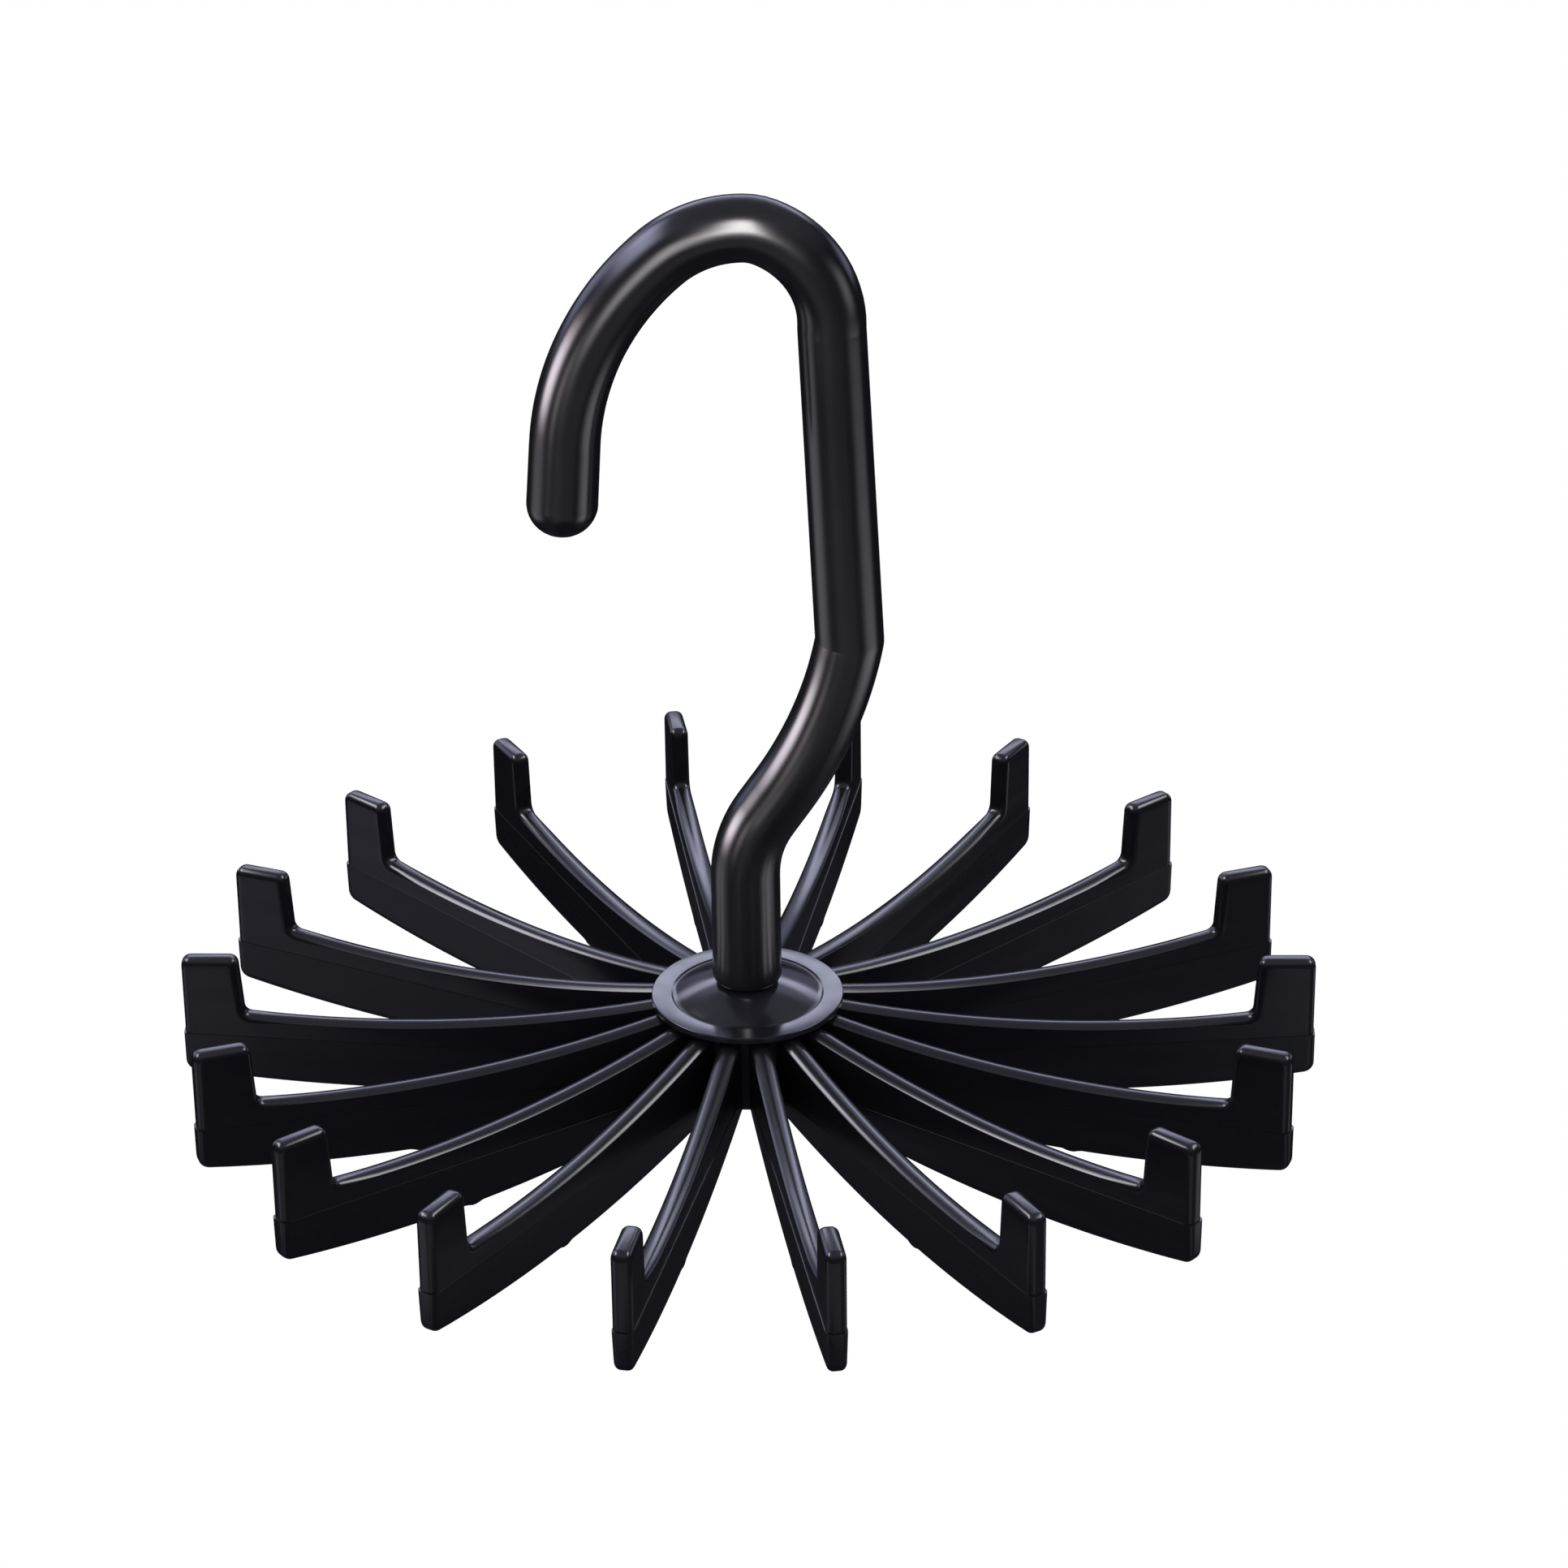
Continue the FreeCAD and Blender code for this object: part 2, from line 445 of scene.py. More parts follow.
@dataclass
class Hook:
    """The hook: a round rod bent into an arch, a shank, a crank and a stem, with a spindle below it."""

    crown_offset: float = 1.0
    crown_height: float = 4.4
    arch: tuple[float, float] = (15.8, 41.0)
    limb: tuple[float, float] = (37.0, 45.0)
    tip_length: float = 8.2
    shoulder: tuple[float, float] = (7.3, -22.0)
    bend: tuple[float, float] = (13.2, -69.0)
    shank_lead: float = 0.4
    shank_kink: float = 3.6
    shank_length: float = 43.3
    crank_kink: float = -13.6
    crank_lead: float = 0.62
    crank: tuple[float, float] = (58.0, -23.2)
    crank_lean: float = 34.2
    stem_bend: float = 16.2
    tip_rod: float = 4.58
    crown_rod: float = 4.28
    stem_rod: float = 4.56
    tip_dome: float = 0.94
    foot_rounding: float = 0.9
    axial_play: float = 0.15
    spindle: float = 2.8
    spindle_step: float = 0.01
    crease: float = 0.2
    step: float = 1.0
    tip_facets: int = 12
    foot_facets: int = 8
    around: int = 96
    seam_height: float = 0.03

    def route(self, heading: float, steps: list[tuple[float, ...]]) -> list[Vector]:
        """Follows a flat route from the crown.

        Args:
            heading: first direction in degrees from +X.
            steps: (radius, turn) for an arc, (length,) for a straight run, and (0, turn) for a kink.

        Returns:
            Points about a step apart, closer beside a kink.
        """
        here = Vector((self.crown_offset, self.crown_height))
        points = [here]
        for move in steps:
            along = math.radians(heading)
            ahead = Vector((math.cos(along), math.sin(along)))
            if len(move) == 1:
                count = max(2, math.ceil(move[0] / self.step))
                stops = {self.crease / move[0], 1 - self.crease / move[0], 1}
                stops.update(i / count for i in range(1, count))
                points += [here + ahead * (move[0] * stop) for stop in sorted(stops)]
            elif move[0] > 0:
                radius, turn = move
                centre = here + Vector((-ahead.y, ahead.x)) * math.copysign(radius, turn)
                count = math.ceil(math.radians(abs(turn)) * radius / self.step)
                for i in range(1, count + 1):
                    swung = Matrix.Rotation(math.radians(turn * i / count), 2)
                    points.append(centre + swung @ (here - centre))
                heading += turn
            else:
                heading += move[1]
            here = points[-1]
        return points

    def spine(self) -> tuple[list[Vector], list[float]]:
        """Lays out the rod's centreline from the tip to the spindle's end.

        Returns:
            The points and the rod's radius at each.
        """
        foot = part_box("hub")[1].z / MM + self.axial_play
        spindle_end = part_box("swivel_washer")[1].z / MM
        limb = self.route(180.0, [self.arch, self.limb, (self.tip_length,)])
        steps = [self.shoulder, self.bend, (self.shank_lead,), (0, self.shank_kink), (self.shank_length,),
                 (0, self.crank_kink), (self.crank_lead,), self.crank]
        shank = self.route(0.0, steps)
        lean = math.radians(self.crank_lean)
        run = (shank[-1].x - self.stem_bend * (1 - math.cos(lean))) / math.sin(lean)
        steps += [(run,), (self.stem_bend, self.crank_lean)]
        shank = self.route(0.0, steps)
        stem_top = shank[-1].y
        stem = foot + self.foot_rounding - stem_top
        for i in range(1, self.foot_facets + 1):
            shank.append(Vector((0, stem_top + stem * i / self.foot_facets)))

        points, radii = [], []
        outward = (limb[-1] - limb[-2]).normalized()
        for i in range(self.tip_facets, 0, -1):
            swing = math.radians(90 * i / self.tip_facets)
            points.append(limb[-1] + outward * (self.tip_rod * self.tip_dome * math.sin(swing)))
            radii.append(self.tip_rod * math.cos(swing))
        for i in range(len(limb) - 1, 0, -1):
            points.append(limb[i])
            radii.append(self.crown_rod + (self.tip_rod - self.crown_rod) * i / (len(limb) - 1))
        for i, point in enumerate(shank):
            points.append(point)
            radii.append(self.crown_rod + (self.stem_rod - self.crown_rod) * i / (len(shank) - 1))
        for i in range(1, self.foot_facets + 1):
            swing = math.radians(90 * i / self.foot_facets)
            points.append(Vector((0, foot + self.foot_rounding * (1 - math.sin(swing)))))
            radii.append(self.stem_rod - self.foot_rounding * (1 - math.cos(swing)))
        for height in (foot - self.spindle_step, spindle_end, spindle_end - self.spindle_step):
            points.append(Vector((0, height)))
        radii += [self.spindle, self.spindle, 0]
        return points, radii

    def sweep_tree(self) -> bpy.types.NodeTree:
        """Builds the tree that sweeps a circle, with a fine mould seam on two sides, along the rod's line.

        Returns:
            The tree.
        """
        tree, given = node_group("rod_sweep", [
            ("Around", "NodeSocketInt"), ("Seam", "NodeSocketFloat"), ("Finish", "NodeSocketMaterial")])
        around = given.outputs["Around"]
        line = add_node(tree, "GeometryNodeMeshToCurve", {"Mesh": given.outputs["Geometry"]})
        ring = add_node(tree, "GeometryNodeCurvePrimitiveCircle", {"Resolution": around, "Radius": 1.0})
        half = add_node(tree, "ShaderNodeMath", {0: around, 1: 2.0}, operation="DIVIDE")
        quarter = add_node(tree, "ShaderNodeMath", {0: around, 1: 4.0}, operation="DIVIDE")
        index = add_node(tree, "GeometryNodeInputIndex")
        shifted = add_node(tree, "ShaderNodeMath", {
            0: index.outputs["Index"], 1: quarter.outputs[0]}, operation="ADD")
        within = add_node(tree, "ShaderNodeMath", {
            0: shifted.outputs[0], 1: half.outputs[0]}, operation="MODULO")
        on_seam = add_node(tree, "FunctionNodeCompare", {
            "A": within.outputs[0], "B": 0.5}, operation="LESS_THAN")
        spot = add_node(tree, "GeometryNodeInputPosition")
        lift = add_node(tree, "ShaderNodeVectorMath", {
            0: spot.outputs["Position"], "Scale": given.outputs["Seam"]}, operation="SCALE")
        seamed = add_node(tree, "GeometryNodeSetPosition", {
            "Geometry": ring.outputs["Curve"], "Selection": on_seam.outputs["Result"],
            "Offset": lift.outputs["Vector"]})
        radius = add_node(tree, "GeometryNodeInputNamedAttribute", {"Name": "rod_radius"}, data_type="FLOAT")
        rod = add_node(tree, "GeometryNodeCurveToMesh", {
            "Curve": line.outputs["Curve"], "Profile Curve": seamed.outputs["Geometry"],
            "Scale": radius.outputs["Attribute"]})
        dressed = add_node(tree, "GeometryNodeSetMaterial", {
            "Geometry": rod.outputs["Mesh"], "Material": given.outputs["Finish"]})
        add_node(tree, "NodeGroupOutput", {"Geometry": dressed.outputs["Geometry"]})
        return tree

    def build(self, finish: MouldedPlastic) -> bpy.types.Object:
        """Builds the hook.

        Args:
            finish: its plastic.

        Returns:
            The hook's object.
        """
        points, radii = self.spine()
        data = bpy.data.meshes.new("hook_line")
        runs = [(i, i + 1) for i in range(len(points) - 1)]
        data.from_pydata([(p.x * MM, 0, p.y * MM) for p in points], runs, [])
        sizes = data.attributes.new("rod_radius", "FLOAT", "POINT")
        sizes.data.foreach_set("value", [radius * MM for radius in radii])
        line = add_object("hook_line", data)
        material = finish.material()
        run_group(line, self.sweep_tree(), {
            "Around": self.around, "Seam": self.seam_height / self.crown_rod, "Finish": material})
        mesh = bmesh.new()
        mesh.from_mesh(line.data)
        bmesh.ops.scale(mesh, vec=(1 / MM, 1 / MM, 1 / MM), verts=mesh.verts)
        bpy.data.objects.remove(line)
        piece = finish_mesh("hook_rod", mesh, material)
        seat(piece, Body.HOOK, Slot.HOOK, "hook")
        return piece


@dataclass
class Hub:
    """The hub: a rimmed disc that swells to a dome under the stem, over the barrel that carries the arms."""

    bore: float = 2.85
    bore_bevel: float = 0.2
    seat: float = 3.7
    dome_rise: float = 1.95
    dome_bulge: float = 0.2
    dish_flat: float = 0.12
    dish_draft: float = 0.3
    dish_depth: float = 0.14
    dish_edge: float = 0.14
    rim_width: float = 2.6
    rim_edge: float = 0.16
    disc_height: float = 0.9
    overhang: float = 2.3
    under_rounding: float = 0.5
    barrel_edge: float = 0.6
    counterbore: float = 6.2
    counterbore_depth: float = 3.25
    counterbore_edge: float = 0.3
    dome_facets: int = 14
    edge_facets: int = 5
    around: int = 180

    def build(self, finish: MouldedPlastic) -> bpy.types.Object:
        """Builds the hub.

        Args:
            finish: its plastic.

        Returns:
            The hub's object.
        """
        low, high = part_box("hub")
        disc, top, bottom = high.x / MM, high.z / MM, low.z / MM
        rim = top - self.dome_rise
        floor = rim - self.dish_depth
        under = rim - self.disc_height
        dish = disc - self.rim_width - self.dish_draft
        dome_foot = Vector((dish - self.dish_flat, floor))
        dome = bowed(Vector((self.seat, top)), dome_foot, -self.dome_bulge, self.dome_facets)
        barrel = disc - self.overhang
        inner = bottom + self.counterbore_depth
        profile = rounded([
            Corner(self.bore, inner),
            Corner(self.bore, top - self.bore_bevel),
            Corner(self.bore + self.bore_bevel, top),
            *[Corner(spot.x, spot.y) for spot in dome],
            Corner(dish, floor, self.dish_edge),
            Corner(disc - self.rim_width, rim, self.dish_edge),
            Corner(disc, rim, self.rim_edge),
            Corner(disc, under, self.rim_edge),
            Corner(barrel, under, self.under_rounding),
            Corner(barrel, bottom, self.barrel_edge),
            Corner(self.counterbore, bottom, self.counterbore_edge),
            Corner(self.counterbore, inner, self.counterbore_edge),
            Corner(self.bore, inner),
        ], self.edge_facets)
        piece = finish_mesh("hub_disc", lathe(profile[:-1], self.around, closed=True), finish.material())
        seat(piece, Body.SPIDER, Slot.SPIDER, "hub")
        return piece


@dataclass
class ArmRing:
    """The eighteen arms: thin bowed beams with an upturned finger, round edges and a mould ledge low down."""

    count: int = 18
    first_angle: float = -80.0
    root: float = 10.0
    barrel: float = 10.49
    half: float = 1.35
    belly_half: float = 1.42
    belly_draft: float = 2.0
    rounding: float = 1.02
    crown_angle: float = 41.0
    crown_edge: float = 0.12
    crown_end: tuple[float, float] = (6.0, 1.5)
    ridge_flat: float = 0.07
    belly_rounding: float = 0.8
    guard: float = 0.25
    sharpest_bend: float = -0.9
    facets: int = 7
    crown_facets: int = 4
    belly_facets: int = 120
    tip: float = 75.5
    ledge: float = 0.18
    root_drop: float = 0.1
    root_height: float = 11.6
    top_sag: float = 2.4
    belly_sag: float = 2.6
    notch_drop: float = 2.3
    notch_rounding: float = 1.1
    finger_height: float = 8.5
    finger_width: float = 7.55
    finger_base: float = 8.15
    finger_rounding: float = 1.25
    heel_drop: float = 10.75
    heel_rounding: float = 1.6
    parting_tip: float = 5.0
    parting_root: float = 9.0
    pip: tuple[float, float, float] = (46.0, 0.9, 0.3)

    def under(self) -> float:
        """Height of the disc's underside, from which the arm's heights hang."""
        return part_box("arm_05")[1].z / MM - self.finger_height + self.notch_drop

    def outline(self) -> tuple[list[Vector], int]:
        """Draws the arm's side from the top of its root, round the finger and heel, to its root's bottom.

        Returns:
            The points, and the number of the point above the ledge.
        """
        under = self.under()
        notch = Vector((self.tip - self.finger_base, under - self.notch_drop))
        top_root = Vector((self.barrel, under - self.root_drop))
        finger_top = notch.y + self.finger_height
        ledge_z = under - self.parting_tip
        heel = Vector((self.tip + self.ledge, under - self.heel_drop))
        low_root = Vector((self.barrel, top_root.y - self.root_height))
        top = [Corner(self.root, top_root.y)]
        top += [Corner(p.x, p.y) for p in bowed(top_root, notch, self.top_sag)[:-1]]
        upper = rounded(top + [
            Corner(notch.x, notch.y, self.notch_rounding),
            Corner(self.tip - self.finger_width, finger_top, self.finger_rounding),
            Corner(self.tip, finger_top, self.finger_rounding),
            Corner(self.tip, ledge_z),
        ])
        where, width, height = self.pip
        belly = []
        for p in bowed(heel, low_root, self.belly_sag, self.belly_facets)[1:]:
            bump = height * math.exp(-((p.x - where) / width) ** 4)
            belly.append(Corner(p.x, p.y - bump))
        lower = rounded([
            Corner(heel.x, ledge_z),
            Corner(heel.x, heel.y, self.heel_rounding),
            *[corner for corner in belly if corner.x < heel.x - 2 * self.heel_rounding],
            Corner(self.root, low_root.y),
        ])
        return upper + lower, len(upper) - 1

    def side(self, spot: Vector, upper: bool) -> float:
        """Half thickness of the arm at a place on its side.

        Args:
            spot: the place.
            upper: whether it lies above the ledge.

        Returns:
            The half thickness.
        """
        if upper:
            return self.half
        under = self.under()
        share = (self.tip - spot.x) / (self.tip - self.barrel)
        parting = under - self.parting_tip + (self.parting_tip - self.parting_root) * share
        return self.belly_half - math.tan(math.radians(self.belly_draft)) * max(0.0, parting - spot.y)

    def full_round(self, radius: float) -> list[Vector]:
        """Quarter of a round across the rim, from its ridge to the side.

        Args:
            radius: the round's radius.

        Returns:
            How far below the ridge and how far short of the side each point lies.
        """
        turns = [math.radians(90 * step / self.facets) for step in range(self.facets + 1)]
        return [Vector((1 - math.cos(turn), 1 - math.sin(turn))) * radius for turn in turns]

    def low_crown(self) -> list[Vector]:
        """Half of the low crown along the arm's top, which ends in a tight edge.

        Returns:
            How far below the ridge and how far short of the side each point lies.
        """
        end = math.radians(self.crown_angle)
        edge = self.crown_edge
        radius = (self.half - edge * (1 - math.sin(end))) / math.sin(end)
        drop = (radius - edge) * (1 - math.cos(end))
        points = []
        for step in range(self.facets + 1):
            share = step / self.crown_facets
            if share <= 1:
                turn = end * max(share, self.ridge_flat)
                points.append(Vector((radius * (1 - math.cos(turn)), self.half - radius * math.sin(turn))))
            else:
                past = (step - self.crown_facets) / (self.facets - self.crown_facets)
                turn = end + (math.pi / 2 - end) * past
                points.append(Vector((drop + edge * (1 - math.cos(turn)), edge * (1 - math.sin(turn)))))
        return points

    def rim(self, point: Vector, upper: bool) -> list[Vector]:
        """Section of the rim at a place on the outline: crowned along the arm, round over the finger.

        Args:
            point: the place.
            upper: whether it lies above the ledge.

        Returns:
            How far in and how far short of the side each point lies.
        """
        if not upper:
            return self.full_round(self.belly_rounding)
        start, stop = (self.tip - self.finger_base - reach for reach in self.crown_end)
        share = min(max((point.x - start) / (stop - start), 0.0), 1.0)
        return [a.lerp(b, share) for a, b in zip(self.low_crown(), self.full_round(self.rounding))]

    def inward(self, points: list[Vector], ledge: int) -> list[Vector]:
        """Directions that move the outline inwards by one, mitred at its corners.

        Args:
            points: the outline.
            ledge: the number of the point above the ledge.

        Returns:
            A direction for each point.
        """
        edges = [(b - a).normalized() for a, b in zip(points, points[1:])]
        normals = [Vector((edge.y, -edge.x)) for edge in edges]
        turned = [Vector((0, -1))]
        for before, after in zip(normals, normals[1:]):
            bend = before.dot(after)
            turned.append((before + after) / (1 + bend) if bend > self.sharpest_bend else after)
        turned.append(Vector((0, 1)))
        turned[ledge] = turned[ledge + 1] = Vector((-1, 0))
        return turned

    def arm_mesh(self) -> bmesh.types.BMesh:
        """Builds one arm along +X: a rounded rim that follows the outline, two flat sides and their ledges.

        Returns:
            The mesh in millimetres.
        """
        points, ledge = self.outline()
        mesh = bmesh.new()
        ribs = []
        for number, (point, inward) in enumerate(zip(points, self.inward(points, ledge))):
            upper = number <= ledge
            section = self.rim(point, upper)
            section.append(Vector((section[-1].x + self.guard, 0.0)))
            rim = []
            for depth, short in section:
                spot = point + inward * depth
                rim.append((spot, self.side(spot, upper) - short))
            left = [mesh.verts.new((p.x, -y, p.y)) for p, y in reversed(rim)]
            ribs.append(left + [mesh.verts.new((p.x, y, p.y)) for p, y in rim])
        for rib, after in zip(ribs, ribs[1:]):
            for a, b, c, d in zip(rib, rib[1:], after[1:], after):
                mesh.faces.new((a, b, c, d))
        parting = self.under() - self.parting_root
        cap = []
        for column, sign in ((-1, 1), (0, -1)):
            high = mesh.verts.new((self.root, sign * self.half, parting))
            low = mesh.verts.new((self.root, sign * self.belly_half, parting))
            mesh.faces.new([rib[column] for rib in ribs[:ledge + 1]] + [high])
            mesh.faces.new([rib[column] for rib in ribs[ledge + 1:]] + [low])
            mesh.faces.new((ribs[ledge][column], high, low, ribs[ledge + 1][column]))
            cap.append((high, low))
        mesh.faces.new(ribs[0] + list(cap[0]) + ribs[-1][::-1] + list(cap[1])[::-1])
        return mesh

    def ring_tree(self) -> bpy.types.NodeTree:
        """Builds the tree that sets an arm out round the hub.

        Returns:
            The tree.
        """
        tree, given = node_group("arm_ring", [
            ("Arm count", "NodeSocketInt"), ("First angle", "NodeSocketFloat"),
            ("Finish", "NodeSocketMaterial")])
        places = add_node(tree, "GeometryNodePoints", {"Count": given.outputs["Arm count"]})
        pitch = add_node(tree, "ShaderNodeMath", {
            0: math.tau, 1: given.outputs["Arm count"]}, operation="DIVIDE")
        index = add_node(tree, "GeometryNodeInputIndex")
        angle = add_node(tree, "ShaderNodeMath", {
            0: index.outputs["Index"], 1: pitch.outputs[0], 2: given.outputs["First angle"]},
            operation="MULTIPLY_ADD")
        euler = add_node(tree, "ShaderNodeCombineXYZ", {"Z": angle.outputs[0]})
        turn = add_node(tree, "FunctionNodeEulerToRotation", {"Euler": euler.outputs["Vector"]})
        arms = add_node(tree, "GeometryNodeInstanceOnPoints", {
            "Points": places.outputs["Points"], "Instance": given.outputs["Geometry"],
            "Rotation": turn.outputs["Rotation"]})
        whole = add_node(tree, "GeometryNodeRealizeInstances", {"Geometry": arms.outputs["Instances"]})
        dressed = add_node(tree, "GeometryNodeSetMaterial", {
            "Geometry": whole.outputs["Geometry"], "Material": given.outputs["Finish"]})
        add_node(tree, "NodeGroupOutput", {"Geometry": dressed.outputs["Geometry"]})
        return tree

    def build(self, finish: MouldedPlastic) -> bpy.types.Object:
        """Builds the ring of arms.

        Args:
            finish: its plastic.

        Returns:
            The ring's object.
        """
        material = finish.material()
        piece = finish_mesh("arm_ring", self.arm_mesh(), material)
        place = [axis for vertex in piece.data.vertices for axis in vertex.co]
        spots = piece.data.attributes.new(finish.place_attribute, "FLOAT_VECTOR", "POINT")
        spots.data.foreach_set("vector", place)
        run_group(piece, self.ring_tree(), {
            "Arm count": self.count, "First angle": math.radians(self.first_angle), "Finish": material})
        nodes = ["arm_%02d" % number for number in range(1, self.count + 1)]
        seat(piece, Body.SPIDER, Slot.SPIDER, *nodes)
        return piece


@dataclass
class Swivel:
    """The swivel's fastening under the hub: a stamped washer and a pan-head screw with a cross recess."""

    washer_hole: float = 1.6
    washer_edge: float = 0.18
    head: float = 2.75
    head_height: float = 1.9
    crown_share: float = 0.45
    crown_lift: float = 0.05
    crown_rounding: float = 1.5
    brow_height: float = 0.75
    brow_rounding: float = 0.9
    head_edge: float = 0.15
    crest: float = 1.44
    root: float = 1.05
    pitch: float = 1.06
    ridge: float = 0.3
    plain_length: float = 0.4
    point_length: float = 2.0
    point_taper: float = 0.8
    recess: float = 1.6
    recess_width: float = 0.8
    recess_depth: float = 1.2
    recess_clear: float = 0.4
    recess_taper: tuple[float, float] = (1.1, 0.45)
    washer_facets: int = 4
    head_facets: int = 6
    shank_rings: int = 90
    point_rings: int = 24
    around: int = 72
    seat_z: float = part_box("swivel_washer")[0].z / MM

    def thread(self, radius: float, height: float, angle: float) -> float:
        """Radius of the screw's thread.

        Args:
            radius: the crest's radius, or that of the head, which has no thread.
            height: height on the axis.
            angle: angle about it.

        Returns:
            The radius there.
        """
        if radius > self.crest or height < self.seat_z + self.plain_length:
            return radius
        turn = (height / self.pitch - angle / math.tau) % 1.0
        ridge = max(0.0, 1.0 - abs(turn - 0.5) / self.ridge)
        return radius * (self.root + (self.crest - self.root) * ridge) / self.crest

    def build(self, finish: ZincSteel) -> list[bpy.types.Object]:
        """Builds the washer and the screw.

        Args:
            finish: their plating.

        Returns:
            The two objects.
        """
        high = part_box("swivel_washer")[1]
        outer, top = high.x / MM, high.z / MM
        middle = (top + self.seat_z) / 2
        material = finish.material()
        profile = rounded([
            Corner(self.washer_hole, middle),
            Corner(self.washer_hole, top, self.washer_edge),
            Corner(outer, top, self.washer_edge),
            Corner(outer, self.seat_z, self.washer_edge),
            Corner(self.washer_hole, self.seat_z, self.washer_edge),
            Corner(self.washer_hole, middle),
        ], self.washer_facets)
        washer = finish_mesh("washer_stamped", lathe(profile[:-1], self.around, closed=True), material)

        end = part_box("swivel_screw")[1].z / MM
        bottom = self.seat_z - self.head_height
        rings = rounded([
            Corner(0.0, bottom),
            Corner(self.head * self.crown_share, bottom + self.crown_lift, self.crown_rounding),
            Corner(self.head, bottom + self.brow_height, self.brow_rounding),
            Corner(self.head, self.seat_z, self.head_edge),
            Corner(self.crest, self.seat_z),
        ], self.head_facets)
        body_end = end - self.point_length
        for i in range(1, self.shank_rings + 1):
            height = self.seat_z + (body_end - self.seat_z) * i / self.shank_rings
            rings.append(Vector((self.crest, height)))
        for i in range(1, self.point_rings + 1):
            radius = self.crest * (1 - self.point_taper * i / self.point_rings)
            rings.append(Vector((radius, body_end + self.point_length * i / self.point_rings)))
        rings.append(Vector((0.0, end)))
        screw = finish_mesh("screw_pan_head", lathe(rings, self.around, swell=self.thread), material)
        self.cut_recess(screw, bottom)
        seat(washer, Body.HOOK, Slot.SWIVEL, "swivel_washer")
        seat(screw, Body.HOOK, Slot.SWIVEL, "swivel_screw")
        return [washer, screw]

    def cut_recess(self, screw: bpy.types.Object, bottom: float) -> None:
        """Cuts the tapered cross recess into the screw's head.

        Args:
            screw: the screw.
            bottom: height of the head's lowest point.
        """
        mesh = bmesh.new()
        wide, thin = self.recess, self.recess_width / 2
        cross = [(wide, thin), (thin, thin), (thin, wide)]
        for _ in range(3):
            cross += [(-y, x) for x, y in cross[-3:]]
        levels = (bottom - self.recess_clear, bottom + self.recess_depth)
        outer, inner = [
            [mesh.verts.new((x * scale, y * scale, level)) for x, y in cross]
            for level, scale in zip(levels, self.recess_taper)]
        for corners in zip(outer, outer[1:] + outer[:1], inner[1:] + inner[:1], inner):
            mesh.faces.new(corners)
        mesh.faces.new(outer)
        mesh.faces.new(inner)
        cutter = finish_mesh("recess_cutter", mesh, screw.data.materials[0])
        cut = screw.modifiers.new("recess", "BOOLEAN")
        cut.object = cutter
        cut.operation = "DIFFERENCE"
        cut.solver = "EXACT"
        plain_copy(screw)
        bpy.data.objects.remove(cutter)


@dataclass(frozen=True)
class Softbox:
    """A rectangular studio lamp that faces the hanger, with a cloth that fades towards its edges.

    It draws the highlights on the polish. The white room round it lights the colours.
    """

    name: str
    azimuth: float
    elevation: float
    distance: float
    width: float
    height: float
    radiance: float
    colour: str = "#ffffff"
    fade: tuple[float, float] = (0.3, 0.3)
    reach: Reach = Reach.ALL

    def cloth(self, tree: bpy.types.NodeTree) -> None:
        """Makes the lamp's light fade towards its sides and its ends.

        Args:
            tree: the lamp's node tree.
        """
        tree.nodes.clear()
        place = add_node(tree, "ShaderNodeNewGeometry")
        axes = add_node(tree, "ShaderNodeSeparateXYZ", {"Vector": place.outputs["Parametric"]})
        shares = []
        for axis, fade in zip("XY", self.fade):
            off = add_node(tree, "ShaderNodeMath", {0: axes.outputs[axis], 1: 0.5}, operation="SUBTRACT")
            away = add_node(tree, "ShaderNodeMath", {0: off.outputs[0]}, operation="ABSOLUTE")
            shares.append(add_node(tree, "ShaderNodeMapRange", {
                "Value": away.outputs[0], "From Min": 0.5 - fade, "From Max": 0.5,
                "To Min": 1.0, "To Max": 0.0}, interpolation_type="SMOOTHSTEP"))
        share = add_node(tree, "ShaderNodeMath", {
            0: shares[0].outputs["Result"], 1: shares[1].outputs["Result"]}, operation="MULTIPLY")
        glow = add_node(tree, "ShaderNodeEmission", {"Strength": share.outputs[0]})
        add_node(tree, "ShaderNodeOutputLight", {"Surface": glow.outputs["Emission"]})

    def build(self, aim: Vector, pieces: dict[Reach, list[bpy.types.Object]]) -> None:
        """Hangs the lamp.

        Args:
            aim: the point that it faces.
            pieces: the hanger's pieces for each narrower reach.
        """
        data = bpy.data.lights.new(self.name, "AREA")
        data.shape = "RECTANGLE"
        data.size, data.size_y = self.width, self.height
        data.energy = self.radiance * math.pi * self.width * self.height
        data.color = linear(self.colour)[:3]
        data.use_nodes = True
        self.cloth(data.node_tree)
        lamp = add_object(self.name, data)
        around, rise = math.radians(self.azimuth), math.radians(self.elevation)
        away = Vector((math.sin(around) * math.cos(rise), -math.cos(around) * math.cos(rise), math.sin(rise)))
        turned = away.to_track_quat("Z", "Y").to_matrix().to_4x4()
        lamp.matrix_world = Matrix.Translation(aim + away * self.distance) @ turned
        lamp.visible_camera = lamp.visible_diffuse = False
        if self.reach is not Reach.ALL:
            lit = bpy.data.collections.new(self.name + "_reach")
            for piece in pieces[self.reach]:
                lit.objects.link(piece)
            lamp.light_linking.receiver_collection = lit


@dataclass(frozen=True)
class PaintedGlow:
    """Part of the velvet's painted glow, a dim emission that paints reflections: it changes along an axis,
    from low at the start to high at the stop.
    """

    axis: str
    start: float
    stop: float
    low: float
    high: float


